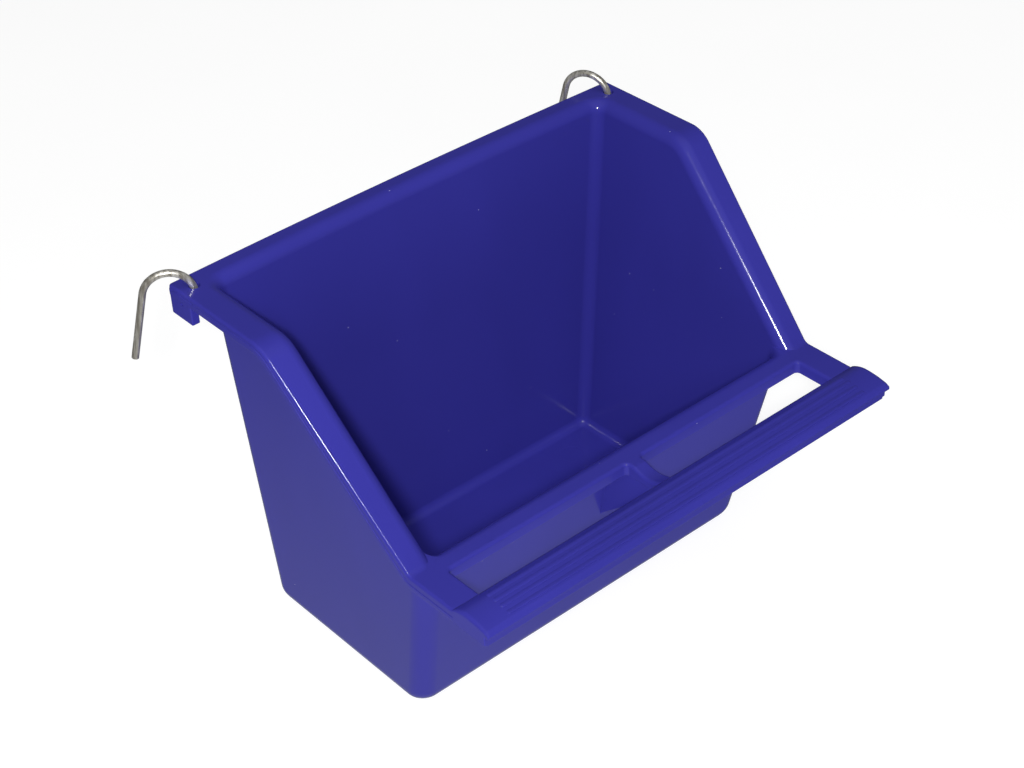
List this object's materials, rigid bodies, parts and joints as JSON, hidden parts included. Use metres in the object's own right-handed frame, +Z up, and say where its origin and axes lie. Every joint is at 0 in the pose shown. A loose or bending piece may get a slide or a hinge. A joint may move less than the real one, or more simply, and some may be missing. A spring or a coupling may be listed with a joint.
{
  "type": "hanging bird feed cup",
  "caption": "Open-fronted plastic seed cup with a sloping rim and a ribbed perch rail, hung on cage bars by swivelling wire hooks.",
  "frame": {"origin": "centre of the floor's underside", "axes": "+X across the cup to the right as seen from its front, +Y towards the cage, +Z up"},
  "size_m": [0.1511, 0.1166, 0.1089],
  "materials": {
    "cup_plastic": "glossy injection-moulded blue polystyrene",
    "hook_wire": "bright drawn steel wire, slightly dulled"
  },
  "bodies": {
    "cup": {"cup": "cup_plastic"},
    "hook_left": {"hook_left": "hook_wire"},
    "hook_right": {"hook_right": "hook_wire"}
  },
  "joints": [
    {"name": "hook_left_swivel", "type": "hinge", "parent": "cup", "child": "hook_left", "pos_m": [-0.06605, 0.02925, 0.1036], "axis": [0, 0, 1], "range_deg": [-110, 85]},
    {"name": "hook_right_swivel", "type": "hinge", "parent": "cup", "child": "hook_right", "pos_m": [0.06605, 0.02925, 0.1036], "axis": [0, 0, 1], "range_deg": [-170, 25]}
  ]
}
